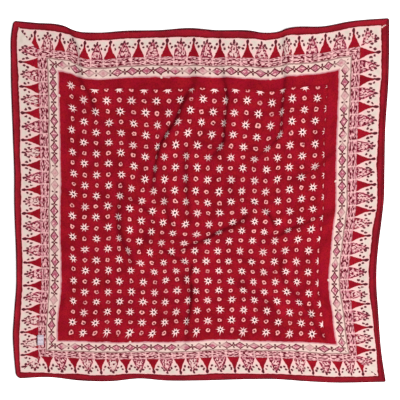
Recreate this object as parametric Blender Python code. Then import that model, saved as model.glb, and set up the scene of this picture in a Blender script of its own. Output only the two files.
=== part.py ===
"""Batik bandana: a square of printed cotton lying loosely spread, with its sewn-on blank label.

The cloth is one closed sheet. It is cut as a near square, pulled a little out of true along its
four hemmed edges, and gathered into soft creases that stand up from the surface it lies on.
Frame: metres, +Z up, +X to the right and +Y to the top of the cloth as it is seen from above.
"""
import bpy
import bmesh
import numpy as np

MM = 0.001

# The cloth and its hem
CLOTH_THICKNESS = 1.0 * MM
HEM_THICKNESS = 1.5 * MM
HEM_WIDTH = 4.0 * MM
FINE_CELLS = 120
KEPT_SHARE = 0.165

# The blank label, sewn flat on the cloth near its lower left corner
LABEL_PLACE = (-239 * MM, -210 * MM)
LABEL_WIDTH = 9.0 * MM
LABEL_LENGTH = 15.0 * MM
LABEL_THICKNESS = 0.6 * MM
LABEL_CORNER = 0.8 * MM
CONTACT_GAP = 0.3 * MM

# Corners of the lying cloth, in mm from the middle: (across, up)
CORNERS = {
    "top_left": (-280, 269),
    "top_right": (284, 273),
    "bottom_left": (-276, -268),
    "bottom_right": (279, -273),
}

# Each edge between its corners. Top and bottom: (across, up). Left and right: (up, across).
TOP_EDGE = (
    (-248, 266), (-203, 261), (-187, 254), (-157, 251), (-112, 254), (-60, 255), (-15, 258),
    (22, 255), (75, 254), (93, 251), (112, 252), (132, 258), (188, 261), (225, 268),
)
BOTTOM_EDGE = (
    (-225, -266), (-180, -271), (-133, -272), (-90, -268), (-52, -271), (0, -271),
    (75, -269), (114, -269), (157, -272), (195, -274),
)
LEFT_EDGE = (
    (-225, -280), (-207, -281), (-168, -279), (-127, -276), (-97, -276), (0, -279),
    (37, -279), (97, -281), (204, -284), (253, -283),
)
RIGHT_EDGE = (
    (-234, 273), (-159, 267), (-130, 265), (-103, 265), (-67, 268), (-36, 272), (0, 276),
    (45, 277), (103, 278), (181, 283), (225, 284),
)

# Creases: the cloth climbs a short steep flank and falls away over a long back.
# flank: half the flank's width, back: the back's width, taken: how much cloth is taken up at it,
# all in mm. path: (across, up, height) in mm down the middle of the flank, which faces left.
CREASES = {
    "corner_fold": dict(flank=6.5, back=34, taken=2, path=(
        (-154, 118, 0), (-157, 132, 2.2), (-162, 148, 3.4), (-168, 162, 3.8), (-178, 178, 3.2),
        (-181, 194, 1.8), (-182, 208, 0))),
    "border_fold": dict(flank=4, back=24, taken=1, path=(
        (-177, 180, 0), (-180, 192, 1.4), (-180, 206, 2.2), (-182, 222, 2.6), (-187, 236, 2.6),
        (-192, 248, 2.2), (-196, 262, 1.6))),
    "main_crease": dict(flank=9, back=38, taken=5, path=(
        (-72, 8, 0), (-71, 18, 2.4), (-69, 40, 3.6), (-66, 60, 3.9), (-60, 82, 4.1),
        (-50, 99, 4.1), (-39, 117, 4.1), (-31, 135, 4), (-23, 153, 3.8), (-12, 168, 3),
        (-8, 188, 2.4), (-7, 212, 1.4), (-9, 262, 0.8))),
    "middle_crease": dict(flank=7.5, back=30, taken=2, path=(
        (-15, -48, 0), (-15, -26, 2), (-19, 0, 2.7), (-20, 30, 2.8), (-21, 50, 2.5),
        (-19, 75, 1.8), (-9, 92, 0))),
    "upper_crease": dict(flank=8, back=40, taken=4, path=(
        (9, 54, 0), (18, 63, 2.2), (28, 75, 3.2), (36, 90, 3.6), (37, 115, 3.6),
        (40, 135, 3.6), (40, 160, 3.6), (36, 184, 3), (33, 205, 1.5), (32, 250, 0.8))),
    "right_upper_crease": dict(flank=7.5, back=40, taken=4, path=(
        (75, 55, 0), (85, 63, 1.6), (100, 75, 2.3), (117, 93, 2.6), (122, 110, 2.6),
        (123, 135, 2.6), (126, 160, 2.5), (128, 184, 2.4), (127, 210, 2), (126, 256, 2))),
    "left_crease": dict(flank=9.5, back=34, taken=3, path=(
        (-93, -108, 0), (-100, -95, 2.4), (-106, -84, 3.4), (-112, -70, 3.8), (-120, -55, 3.9),
        (-123, -35, 3.9), (-123, -15, 3.4), (-118, 10, 2.2), (-114, 26, 0))),
    "left_branch": dict(flank=5.5, back=22, taken=1, path=(
        (-53, -33, 0), (-71, -25, 3.4), (-85, -13, 4.8), (-105, 0, 5), (-120, 12, 3.8),
        (-132, 20, 0))),
    "short_crease": dict(flank=5.5, back=20, taken=1, path=(
        (-33, -54, 0), (-45, -35, 2.6), (-51, -20, 2.8), (-53, 0, 2), (-54, 12, 0))),
    "slanting_crease": dict(flank=8, back=38, taken=4, path=(
        (-42, -78, 0), (-24, -73, 2.4), (-9, -67, 3.4), (11, -58, 3.8), (31, -47, 3.8),
        (56, -37, 3.4), (71, -25, 2.8), (79, -17, 1.6), (86, -8, 0))),
    "crossing_crease": dict(flank=5, back=22, taken=1, path=(
        (116, -42, 0), (111, -33, 4), (108, -27, 4.8), (98, -15, 5), (80, -5, 4.8),
        (60, 4, 4.2), (45, 12, 3), (33, 17, 0))),
    "right_crease": dict(flank=7, back=36, taken=3, path=(
        (90, -50, 0), (99, -53, 1.8), (117, -54, 2.7), (132, -46, 2.9), (147, -39, 2.9),
        (162, -34, 2.7), (177, -27, 2.2), (192, -23, 1.6), (203, -20, 0))),
    "lower_crease": dict(flank=8.5, back=56, taken=4, path=(
        (-18, -222, 0), (-18, -210, 1.8), (-18, -185, 3.2), (-15, -170, 3.8), (-13, -150, 4.1),
        (-13, -130, 4.1), (-16, -116, 3.8), (-13, -102, 4.1), (-11, -86, 3.2), (-12, -70, 0))),
    "right_lower_crease": dict(flank=5, back=26, taken=1.5, path=(
        (194, -219, 0), (188, -209, 1.9), (173, -187, 2.3), (163, -167, 2.3), (143, -142, 2.2),
        (124, -118, 2), (122, -92, 1.8), (125, -72, 1.5), (128, -54, 0))),
    "small_lower_crease": dict(flank=4.5, back=20, taken=1, path=(
        (120, -175, 0), (115, -169, 2.6), (100, -154, 3.4), (85, -145, 3.4), (65, -131, 2.8),
        (54, -124, 0))),
    "right_edge_crease": dict(flank=5, back=26, taken=1, path=(
        (120, 21, 0), (138, 30, 1.6), (157, 39, 1.8), (174, 48, 2), (190, 63, 1.8),
        (202, 81, 0))),
    "cross_tuck": dict(flank=5.5, back=20, taken=1, path=(
        (0, -106, 0), (-11, -98, 4), (-26, -92, 5), (-44, -83, 4.8), (-57, -73, 4.2),
        (-77, -66, 3.2), (-92, -60, 0))),
    "small_tuck": dict(flank=4.5, back=16, taken=1, path=(
        (-26, -138, 0), (-27, -120, 2), (-26, -105, 0))),
}

# Soft swells where the cloth lifts without creasing, in mm:
# middle (across, up), reach each way, and height
SWELLS = (
    dict(at=(-160, 246), reach=(40, 34), height=1.6),
    dict(at=(2, 252), reach=(34, 34), height=1.4),
    dict(at=(82, 250), reach=(40, 34), height=1.6),
    dict(at=(150, 256), reach=(46, 34), height=1.6),
    dict(at=(262, -118), reach=(34, 60), height=1.6),
    dict(at=(268, 90), reach=(34, 70), height=1.2),
    dict(at=(-110, 70), reach=(70, 80), height=1.2),
)

# How far from a crease the rest of the cloth is drawn in, and how near the edge that stops
DRAW_IN_REACH = 110
EDGE_HOLD = 30
STEPS_ALONG_CREASE = 8


def empty_scene():
    for obj in list(bpy.data.objects):
        bpy.data.objects.remove(obj, do_unlink=True)


def smooth(share):
    """Ease from 0 to 1 with level ends."""
    share = np.clip(share, 0.0, 1.0)
    return share * share * (3.0 - 2.0 * share)


def curve_through(places, values, at):
    """A smooth curve through the points of an edge, read at the places asked for."""
    places = np.asarray(places, float)
    values = np.asarray(values, float)
    slopes = np.gradient(values, places)
    span = np.clip(np.searchsorted(places, at, side="right") - 1, 0, len(places) - 2)
    width = places[span + 1] - places[span]
    t = (at - places[span]) / width
    start = (1 + 2 * t) * (1 - t) ** 2 * values[span] + t * (1 - t) ** 2 * width * slopes[span]
    end = t * t * (3 - 2 * t) * values[span + 1] - t * t * (1 - t) * width * slopes[span + 1]
    return start + end


def edge(rows, first, last, along, out, share):
    """One edge of the lying cloth: points (across, up) at each share of the way along it."""
    ends = sorted([(first[along], first[out]), (last[along], last[out])])
    rows = [ends[0]] + sorted(rows) + [ends[1]]
    at = first[along] + (last[along] - first[along]) * share
    points = np.empty(share.shape + (2,))
    points[..., along] = at
    points[..., out] = curve_through([row[0] for row in rows], [row[1] for row in rows], at)
    return points


def lay_between_edges(right_share, down_share):
    """Spread the cut square between its four edges: shares of the cloth to points in mm."""
    top_left, top_right = CORNERS["top_left"], CORNERS["top_right"]
    bottom_left, bottom_right = CORNERS["bottom_left"], CORNERS["bottom_right"]
    top = edge(TOP_EDGE, top_left, top_right, 0, 1, right_share)
    bottom = edge(BOTTOM_EDGE, bottom_left, bottom_right, 0, 1, right_share)
    left = edge(LEFT_EDGE, top_left, bottom_left, 1, 0, down_share)
    right = edge(RIGHT_EDGE, top_right, bottom_right, 1, 0, down_share)
    u = right_share[..., None]
    v = down_share[..., None]
    corners = ((1 - u) * (1 - v) * np.array(top_left) + u * (1 - v) * np.array(top_right)
               + (1 - u) * v * np.array(bottom_left) + u * v * np.array(bottom_right))
    return (1 - v) * top + v * bottom + (1 - u) * left + u * right - corners


def smooth_path(path):
    """Points along a crease on one smooth line, as rows (across, up, height)."""
    rows = np.array(path, float)
    before = np.vstack([2 * rows[0] - rows[1], rows, 2 * rows[-1] - rows[-2]])
    line = []
    for i in range(len(rows) - 1):
        a, b, c, d = before[i:i + 4]
        for t in np.arange(STEPS_ALONG_CREASE) / STEPS_ALONG_CREASE:
            line.append(0.5 * (2 * b + (c - a) * t + (2 * a - 5 * b + 4 * c - d) * t ** 2
                               + (3 * b - a - 3 * c + d) * t ** 3))
    line.append(rows[-1])
    line = np.array(line)
    line[:, 2] = np.maximum(line[:, 2], 0.0)
    return line


def nearest_on(line, points):
    """How far each point lies to the right of a line, the line's height there, and that side."""
    start, step = line[:-1, :2], np.diff(line[:, :2], axis=0)
    length = np.linalg.norm(step, axis=1)
    away = points[:, None, :] - start[None]
    t = np.clip((away * step).sum(2) / length ** 2, 0.0, 1.0)
    gap = away - t[..., None] * step
    nearest = np.argmin((gap ** 2).sum(2), axis=1)
    each = np.arange(len(points))
    t = t[each, nearest]
    height = line[nearest, 2] * (1 - t) + line[nearest + 1, 2] * t
    right = np.stack([step[nearest, 1], -step[nearest, 0]], axis=1) / length[nearest, None]
    distance = np.linalg.norm(gap[each, nearest], axis=1)
    side = np.sign((gap[each, nearest] * right).sum(1))
    return distance * np.where(side == 0, 1.0, side), height, right


def raise_crease(points, flank, back, taken, path):
    """One crease: how high it lifts each point, and how far it draws the cloth in."""
    line = smooth_path(path)
    offset, height, right = nearest_on(line, points)
    offset += taken / 2
    lift = height * smooth((offset + flank) / (2 * flank)) * (1 - smooth((offset - flank) / back))
    beyond = np.maximum(-flank - offset, 0.0)
    fade = (1 - smooth((offset + flank) / (2 * flank))) * (1 - smooth(beyond / DRAW_IN_REACH))
    pull = taken * fade * (height / line[:, 2].max()) ** 2
    return lift, pull[:, None] * right


def lying_cloth(right_share, down_share):
    """Where each point of the cut cloth lies: (across, up, height) in metres."""
    spread = lay_between_edges(right_share, down_share)
    points = spread.reshape(-1, 2)
    lifts = []
    drawn = np.zeros_like(points)
    for crease in CREASES.values():
        lift, pull = raise_crease(points, **crease)
        lifts.append(lift)
        drawn += pull
    for swell in SWELLS:
        away = np.abs(points - np.array(swell["at"])) / np.array(swell["reach"])
        lifts.append(swell["height"] * (1 - smooth(np.hypot(away[:, 0], away[:, 1]))))
    height = (np.array(lifts) ** 3).sum(0) ** (1 / 3)

    cut = np.array([CORNERS["top_right"][0] - CORNERS["top_left"][0],
                    CORNERS["top_left"][1] - CORNERS["bottom_left"][1]])
    shares = np.stack([right_share.ravel(), down_share.ravel()], axis=1)
    from_edge = np.minimum(shares, 1 - shares) * cut
    points = points + drawn * smooth(from_edge / EDGE_HOLD)
    lying = np.column_stack([points, height]) * MM
    return lying.reshape(right_share.shape + (3,))


def fine_shares(length_mm):
    """Shares along one side of the cloth, with a row at the inner line of each hem."""
    hem = HEM_WIDTH / MM / length_mm
    return np.concatenate([[0.0], np.linspace(hem, 1 - hem, FINE_CELLS + 1), [1.0]])


def fabric(name, colour, roughness):
    material = bpy.data.materials.new(name)
    material.use_nodes = True
    shader = material.node_tree.nodes["Principled BSDF"]
    shader.inputs["Base Color"].default_value = (*colour, 1.0)
    shader.inputs["Roughness"].default_value = roughness
    shader.inputs["Metallic"].default_value = 0.0
    return material


def object_from(name, verts, faces, material):
    mesh = bpy.data.meshes.new(name)
    mesh.from_pydata([tuple(vert) for vert in verts], [], faces)
    mesh.materials.append(material)
    mesh.shade_smooth()
    obj = bpy.data.objects.new(name, mesh)
    bpy.context.scene.collection.objects.link(obj)
    return obj


def keep_above_table(cloth, fewer):
    """Applies the modifier, then sets back up the few points that it moved below the table."""
    graph = bpy.context.evaluated_depsgraph_get()
    mesh = bpy.data.meshes.new_from_object(cloth.evaluated_get(graph),
                                           preserve_all_data_layers=True, depsgraph=graph)
    cloth.modifiers.remove(fewer)
    for vert in mesh.vertices:
        vert.co.z = max(vert.co.z, 0.0)
    cloth.data = mesh


def make_cloth(material):
    right = fine_shares(CORNERS["top_right"][0] - CORNERS["top_left"][0])
    down = fine_shares(CORNERS["top_left"][1] - CORNERS["bottom_left"][1])
    right_share, down_share = np.meshgrid(right, down)
    lying = lying_cloth(right_share, down_share).reshape(-1, 3)
    middle = (lying.min(0) + lying.max(0)) / 2
    lying[:, :2] -= middle[:2]

    columns = len(right)
    corner = (np.arange(len(down) - 1)[:, None] * columns + np.arange(columns - 1)).ravel()
    faces = np.column_stack([corner, corner + columns, corner + columns + 1, corner + 1])
    cloth = object_from("cloth", lying, faces.tolist(), material)

    row, column = np.divmod(np.arange(len(lying)), columns)
    rows_in = np.minimum.reduce([row, column, len(down) - 1 - row, columns - 1 - column])
    hem = cloth.vertex_groups.new(name="hem")
    hem.add(np.flatnonzero(rows_in == 0).tolist(), 1.0, "REPLACE")
    hem_lines = cloth.vertex_groups.new(name="hem lines")
    hem_lines.add(np.flatnonzero(rows_in <= 1).tolist(), 1.0, "REPLACE")

    fewer = cloth.modifiers.new("Fewer faces where it lies flat", "DECIMATE")
    fewer.ratio = KEPT_SHARE
    fewer.vertex_group = hem_lines.name
    fewer.invert_vertex_group = True
    keep_above_table(cloth, fewer)
    thick = cloth.modifiers.new("Thickness", "SOLIDIFY")
    thick.thickness = HEM_THICKNESS
    thick.offset = 1.0
    thick.vertex_group = hem.name
    thick.thickness_vertex_group = CLOTH_THICKNESS / HEM_THICKNESS
    return cloth, middle


def make_label(material, middle):
    mesh = bpy.data.meshes.new("blank_label")
    shape = bmesh.new()
    bmesh.ops.create_cube(shape, size=1.0)
    bmesh.ops.scale(shape, verts=shape.verts, vec=(LABEL_WIDTH, LABEL_LENGTH, LABEL_THICKNESS))
    upright = [side for side in shape.edges
               if abs(side.verts[0].co.z - side.verts[1].co.z) > LABEL_THICKNESS / 2]
    bmesh.ops.bevel(shape, geom=upright, offset=LABEL_CORNER, segments=3, affect="EDGES",
                    profile=0.5)
    shape.to_mesh(mesh)
    shape.free()
    mesh.materials.append(material)
    label = bpy.data.objects.new("blank_label", mesh)
    label.location = (LABEL_PLACE[0] - middle[0], LABEL_PLACE[1] - middle[1],
                      CLOTH_THICKNESS + CONTACT_GAP + LABEL_THICKNESS / 2)
    bpy.context.scene.collection.objects.link(label)
    return label


empty_scene()
cloth, middle = make_cloth(fabric("printed cotton", (0.36, 0.006, 0.018), 0.85))
make_label(fabric("woven label tape", (0.72, 0.70, 0.78), 0.7), middle)
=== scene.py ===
import math
import bpy
import numpy as np
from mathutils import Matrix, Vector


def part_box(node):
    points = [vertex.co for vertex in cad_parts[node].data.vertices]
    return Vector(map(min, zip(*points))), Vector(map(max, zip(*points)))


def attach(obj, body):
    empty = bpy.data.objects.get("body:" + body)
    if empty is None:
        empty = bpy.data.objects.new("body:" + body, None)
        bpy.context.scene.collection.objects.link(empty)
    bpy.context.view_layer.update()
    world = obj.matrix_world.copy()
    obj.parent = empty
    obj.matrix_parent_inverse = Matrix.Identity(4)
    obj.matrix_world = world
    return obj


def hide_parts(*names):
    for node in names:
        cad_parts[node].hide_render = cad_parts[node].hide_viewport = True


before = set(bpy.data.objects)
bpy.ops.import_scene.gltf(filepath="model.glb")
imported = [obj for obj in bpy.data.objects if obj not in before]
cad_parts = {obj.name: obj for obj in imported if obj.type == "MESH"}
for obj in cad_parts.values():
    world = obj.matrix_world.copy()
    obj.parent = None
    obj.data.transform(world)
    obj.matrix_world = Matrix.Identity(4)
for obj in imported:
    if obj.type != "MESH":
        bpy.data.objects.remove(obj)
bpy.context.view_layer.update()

# Cloth
# One near square of thin plain cotton, with a narrow rolled hem on its four sides. It was folded
# and carried, so it lies a little out of true, with soft creases that stand up from the table.
MM = 0.001

# Its corners, and the points between them where an edge bends, in mm from the photo's middle.
# Corners, top and bottom: (across, up). Left and right: (up, across).
CORNERS = {
    "top_left": (-280, 269),
    "top_right": (284, 273),
    "bottom_left": (-276, -268),
    "bottom_right": (279, -273),
}
TOP_EDGE = (
    (-248, 266), (-203, 261), (-187, 254), (-157, 251), (-112, 254), (-60, 255), (-15, 258),
    (22, 255), (75, 254), (93, 251), (112, 252), (132, 258), (188, 261), (225, 268),
)
BOTTOM_EDGE = (
    (-225, -266), (-180, -271), (-133, -272), (-90, -268), (-52, -271), (0, -271),
    (75, -269), (114, -269), (157, -272), (195, -274),
)
LEFT_EDGE = (
    (-225, -280), (-207, -281), (-168, -279), (-127, -276), (-97, -276), (0, -279),
    (37, -279), (97, -281), (204, -284), (253, -283),
)
RIGHT_EDGE = (
    (-234, 273), (-159, 267), (-130, 265), (-103, 265), (-67, 268), (-36, 272), (0, 276),
    (45, 277), (103, 278), (181, 283), (225, 284),
)
# How far the folded hem rounds each corner off, in mm
CORNER_ROUNDS = {"top_left": 5, "top_right": 3, "bottom_left": 9, "bottom_right": 3}
CUT_WIDTH = CORNERS["top_right"][0] - CORNERS["top_left"][0]
CUT_LENGTH = CORNERS["top_left"][1] - CORNERS["bottom_left"][1]

# Creases: the cloth climbs a short steep flank and falls away over a long back.
# flank: half the flank's width, back: the back's width, taken: how much cloth is taken up at it,
# all in mm. path: (across, up, height) in mm down the middle of the flank, which faces left.
CREASES = {
    "corner_fold": dict(flank=6.5, back=34, taken=2, path=(
        (-154, 118, 0), (-157, 132, 2.2), (-162, 148, 3.4), (-168, 162, 3.8), (-178, 178, 3.2),
        (-181, 194, 1.8), (-182, 208, 0))),
    "border_fold": dict(flank=4, back=24, taken=1, path=(
        (-177, 180, 0), (-180, 192, 1.4), (-180, 206, 2.2), (-182, 222, 2.6), (-187, 236, 2.6),
        (-192, 248, 2.2), (-196, 262, 1.6))),
    "main_crease": dict(flank=9, back=38, taken=5, path=(
        (-72, 8, 0), (-71, 18, 2.4), (-69, 40, 3.6), (-66, 60, 3.9), (-60, 82, 4.1),
        (-50, 99, 4.1), (-39, 117, 4.1), (-31, 135, 4), (-23, 153, 3.8), (-12, 168, 3),
        (-8, 188, 2.4), (-7, 212, 1.4), (-9, 262, 0.8))),
    "middle_crease": dict(flank=7.5, back=30, taken=2, path=(
        (-15, -48, 0), (-15, -26, 2), (-19, 0, 2.7), (-20, 30, 2.8), (-21, 50, 2.5),
        (-19, 75, 1.8), (-9, 92, 0))),
    "upper_crease": dict(flank=8, back=40, taken=4, path=(
        (9, 54, 0), (18, 63, 2.2), (28, 75, 3.2), (36, 90, 3.6), (37, 115, 3.6),
        (40, 135, 3.6), (40, 160, 3.6), (36, 184, 3), (33, 205, 1.5), (32, 250, 0.8))),
    "right_upper_crease": dict(flank=7.5, back=40, taken=4, path=(
        (75, 55, 0), (85, 63, 1.6), (100, 75, 2.3), (117, 93, 2.6), (122, 110, 2.6),
        (123, 135, 2.6), (126, 160, 2.5), (128, 184, 2.4), (127, 210, 2), (126, 256, 2))),
    "left_crease": dict(flank=9.5, back=34, taken=3, path=(
        (-93, -108, 0), (-100, -95, 2.4), (-106, -84, 3.4), (-112, -70, 3.8), (-120, -55, 3.9),
        (-123, -35, 3.9), (-123, -15, 3.4), (-118, 10, 2.2), (-114, 26, 0))),
    "left_branch": dict(flank=5.5, back=22, taken=1, path=(
        (-53, -33, 0), (-71, -25, 3.4), (-85, -13, 4.8), (-105, 0, 5), (-120, 12, 3.8),
        (-132, 20, 0))),
    "short_crease": dict(flank=5.5, back=20, taken=1, path=(
        (-33, -54, 0), (-45, -35, 2.6), (-51, -20, 2.8), (-53, 0, 2), (-54, 12, 0))),
    "slanting_crease": dict(flank=8, back=38, taken=4, path=(
        (-42, -78, 0), (-24, -73, 3.2), (-9, -67, 4), (11, -58, 4.3), (31, -47, 4.2),
        (56, -37, 3.7), (71, -25, 3), (79, -17, 1.6), (86, -8, 0))),
    "crossing_crease": dict(flank=5, back=22, taken=1, path=(
        (116, -42, 0), (111, -33, 4), (108, -27, 4.8), (98, -15, 5), (80, -5, 4.8),
        (60, 4, 4.2), (45, 12, 3), (33, 17, 0))),
    "right_crease": dict(flank=7, back=36, taken=3, path=(
        (90, -50, 0), (99, -53, 2.1), (117, -54, 3.1), (132, -46, 3.3), (147, -39, 3.3),
        (162, -34, 3.1), (177, -27, 2.5), (192, -23, 1.8), (203, -20, 0))),
    "lower_crease": dict(flank=8.5, back=56, taken=4, path=(
        (-18, -222, 0), (-18, -210, 1.8), (-18, -185, 3.2), (-15, -170, 3.8), (-13, -150, 4.1),
        (-13, -130, 4.1), (-16, -116, 3.8), (-13, -102, 4.1), (-11, -86, 3.2), (-12, -70, 0))),
    "right_lower_crease": dict(flank=5, back=26, taken=1.5, path=(
        (194, -219, 0), (188, -209, 1.9), (173, -187, 2.3), (163, -167, 2.3), (143, -142, 2.2),
        (124, -118, 2), (122, -92, 1.8), (125, -72, 1.5), (128, -54, 0))),
    "small_lower_crease": dict(flank=4.5, back=20, taken=1, path=(
        (120, -175, 0), (115, -169, 2.6), (100, -154, 3.4), (85, -145, 3.4), (65, -131, 2.8),
        (54, -124, 0))),
    "right_edge_crease": dict(flank=5, back=26, taken=1, path=(
        (120, 21, 0), (138, 30, 1.6), (157, 39, 1.8), (174, 48, 2), (190, 63, 1.8),
        (202, 81, 0))),
    "cross_tuck": dict(flank=5.5, back=20, taken=1, path=(
        (0, -106, 0), (-11, -98, 5), (-26, -92, 6.2), (-44, -83, 6), (-57, -73, 5.2),
        (-77, -66, 4), (-92, -60, 0))),
    "small_tuck": dict(flank=4.5, back=16, taken=1, path=(
        (-26, -138, 0), (-27, -120, 2), (-26, -105, 0))),
}

# Soft swells where the cloth lifts without creasing, in mm
SWELLS = (
    dict(at=(-160, 246), reach=(40, 34), height=1.6),
    dict(at=(2, 252), reach=(34, 34), height=1.4),
    dict(at=(82, 250), reach=(40, 34), height=1.6),
    dict(at=(150, 256), reach=(46, 34), height=1.6),
    dict(at=(262, -118), reach=(34, 60), height=1.6),
    dict(at=(268, 90), reach=(34, 70), height=1.2),
    dict(at=(-110, 70), reach=(70, 80), height=1.2),
)

# How far off a crease still draws the cloth in, and how close to an edge that fades out, in mm
DRAW_IN_REACH = 110
EDGE_HOLD = 30
STEPS_ALONG_CREASE = 8
# The cotton's creases are a little narrower and lower than the solid's
FLANK_SHARE, HEIGHT_SHARE = 0.75, 0.84


def smooth(share):
    share = np.clip(share, 0.0, 1.0)
    return share * share * (3.0 - 2.0 * share)


def curve_through(places, values, at):
    places = np.asarray(places, float)
    values = np.asarray(values, float)
    slopes = np.gradient(values, places)
    span = np.clip(np.searchsorted(places, at, side="right") - 1, 0, len(places) - 2)
    width = places[span + 1] - places[span]
    t = (at - places[span]) / width
    start = (1 + 2 * t) * (1 - t) ** 2 * values[span] + t * (1 - t) ** 2 * width * slopes[span]
    end = t * t * (3 - 2 * t) * values[span + 1] - t * t * (1 - t) * width * slopes[span + 1]
    return start + end


def cloth_edge(rows, first, last, along, out, share):
    ends = sorted([(first[along], first[out]), (last[along], last[out])])
    rows = [ends[0]] + sorted(rows) + [ends[1]]
    at = first[along] + (last[along] - first[along]) * share
    points = np.empty(share.shape + (2,))
    points[..., along] = at
    points[..., out] = curve_through([row[0] for row in rows], [row[1] for row in rows], at)
    return points


def lay_between_edges(right_share, down_share):
    top_left, top_right = CORNERS["top_left"], CORNERS["top_right"]
    bottom_left, bottom_right = CORNERS["bottom_left"], CORNERS["bottom_right"]
    top = cloth_edge(TOP_EDGE, top_left, top_right, 0, 1, right_share)
    bottom = cloth_edge(BOTTOM_EDGE, bottom_left, bottom_right, 0, 1, right_share)
    left = cloth_edge(LEFT_EDGE, top_left, bottom_left, 1, 0, down_share)
    right = cloth_edge(RIGHT_EDGE, top_right, bottom_right, 1, 0, down_share)
    u = right_share[..., None]
    v = down_share[..., None]
    corners = ((1 - u) * (1 - v) * np.array(top_left) + u * (1 - v) * np.array(top_right)
               + (1 - u) * v * np.array(bottom_left) + u * v * np.array(bottom_right))
    return (1 - v) * top + v * bottom + (1 - u) * left + u * right - corners


def smooth_path(path):
    rows = np.array(path, float)
    before = np.vstack([2 * rows[0] - rows[1], rows, 2 * rows[-1] - rows[-2]])
    line = []
    for i in range(len(rows) - 1):
        a, b, c, d = before[i:i + 4]
        for t in np.arange(STEPS_ALONG_CREASE) / STEPS_ALONG_CREASE:
            line.append(0.5 * (2 * b + (c - a) * t + (2 * a - 5 * b + 4 * c - d) * t ** 2
                               + (3 * b - a - 3 * c + d) * t ** 3))
    line.append(rows[-1])
    line = np.array(line)
    line[:, 2] = np.maximum(line[:, 2], 0.0)
    return line


def nearest_on(line, points):
    """How far each point lies to the right of a line, the line's height there, and that side."""
    start, step = line[:-1, :2], np.diff(line[:, :2], axis=0)
    length = np.linalg.norm(step, axis=1)
    away = points[:, None, :] - start[None]
    t = np.clip((away * step).sum(2) / length ** 2, 0.0, 1.0)
    gap = away - t[..., None] * step
    nearest = np.argmin((gap ** 2).sum(2), axis=1)
    each = np.arange(len(points))
    t = t[each, nearest]
    height = line[nearest, 2] * (1 - t) + line[nearest + 1, 2] * t
    right = np.stack([step[nearest, 1], -step[nearest, 0]], axis=1) / length[nearest, None]
    distance = np.linalg.norm(gap[each, nearest], axis=1)
    side = np.sign((gap[each, nearest] * right).sum(1))
    return distance * np.where(side == 0, 1.0, side), height, right


def raise_crease(points, flank, back, taken, path):
    """One crease: how high it lifts each point, and how far it draws the cloth in."""
    line = smooth_path(path)
    line[:, 2] *= HEIGHT_SHARE
    flank = flank * FLANK_SHARE
    offset, height, right = nearest_on(line, points)
    offset += taken / 2
    lift = height * smooth((offset + flank) / (2 * flank)) * (1 - smooth((offset - flank) / back))
    beyond = np.maximum(-flank - offset, 0.0)
    fade = (1 - smooth((offset + flank) / (2 * flank))) * (1 - smooth(beyond / DRAW_IN_REACH))
    pull = taken * fade * (height / line[:, 2].max()) ** 2
    return lift, pull[:, None] * right


def lying_cloth(right_share, down_share):
    """Where each point of the cut cloth lies: (across, up, height) in metres."""
    points = lay_between_edges(right_share, down_share).reshape(-1, 2)
    lifts = []
    drawn = np.zeros_like(points)
    for crease in CREASES.values():
        lift, pull = raise_crease(points, **crease)
        lifts.append(lift)
        drawn += pull
    for swell in SWELLS:
        away = np.abs(points - np.array(swell["at"])) / np.array(swell["reach"])
        lifts.append(swell["height"] * (1 - smooth(np.hypot(away[:, 0], away[:, 1]))))
    height = (np.array(lifts) ** 3).sum(0) ** (1 / 3)

    cut = np.array([CUT_WIDTH, CUT_LENGTH])
    shares = np.stack([right_share.ravel(), down_share.ravel()], axis=1)
    from_edge = np.minimum(shares, 1 - shares) * cut
    points = points + drawn * smooth(from_edge / EDGE_HOLD)
    for corner, rounded in CORNER_ROUNDS.items():
        corner_share = np.array(["right" in corner, "bottom" in corner], float)
        inward = np.array([1, -1]) * (1 - 2 * corner_share)
        near = np.clip(1 - np.abs(shares - corner_share) * cut / rounded, 0, 1)
        points = points + inward * rounded * near * (1 - np.sqrt(1 - near[:, ::-1] ** 2 / 2))
    lying = np.column_stack([points, height]) * MM
    return lying.reshape(right_share.shape + (3,))


# The hem is rolled over twice and pressed: rows of (from the edge, upper side, under side) in mm
HEM_ROLL = (
    (0.0, 0.72, 0.72), (0.35, 1.12, 0.25), (0.9, 1.36, 0.0), (1.8, 1.42, 0.0), (2.8, 1.32, 0.0),
    (3.5, 1.12, 0.0), (4.0, 0.9, 0.0), (4.6, 0.68, 0.0), (6.0, 0.45, 0.0),
)
ROWS_BETWEEN_HEMS = 196


def cloth_rows(length):
    """Shares along one side of the cloth: a row for each step of the hem, then even rows."""
    hem = np.array([row[0] for row in HEM_ROLL]) / length
    between = np.linspace(hem[-1], 1 - hem[-1], ROWS_BETWEEN_HEMS + 1)[1:-1]
    return np.concatenate([hem, between, 1 - hem[::-1]])


rows_right = cloth_rows(CUT_WIDTH)
rows_down = cloth_rows(CUT_LENGTH)
right_share, down_share = np.meshgrid(rows_right, rows_down)
lying = lying_cloth(right_share, down_share)
middle = (lying.reshape(-1, 3).min(0) + lying.reshape(-1, 3).max(0))[:2] / 2
lying[..., :2] -= middle

step_right = np.gradient(lying, axis=1)
step_up = -np.gradient(lying, axis=0)
# At a rounded corner's own point the steps are too short to give a normal, so it is set upright
LEAST_RISE = 0.4
normals = np.cross(step_right, step_up)
normals /= np.maximum(np.linalg.norm(normals, axis=2, keepdims=True), 1e-12)
normals[normals[..., 2] < LEAST_RISE] = (0.0, 0.0, 1.0)
from_side = np.minimum(np.minimum(right_share, 1 - right_share) * CUT_WIDTH,
                       np.minimum(down_share, 1 - down_share) * CUT_LENGTH)
roll_in, roll_upper, roll_under = np.array(HEM_ROLL).T
upper = np.interp(from_side, roll_in, roll_upper) * MM
under = np.interp(from_side, roll_in, roll_under) * MM

count = right_share.size
index = np.arange(count).reshape(right_share.shape)
under_index = index + count
for side in (np.s_[0, :], np.s_[-1, :], np.s_[:, 0], np.s_[:, -1]):
    under_index[side] = index[side]


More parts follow.
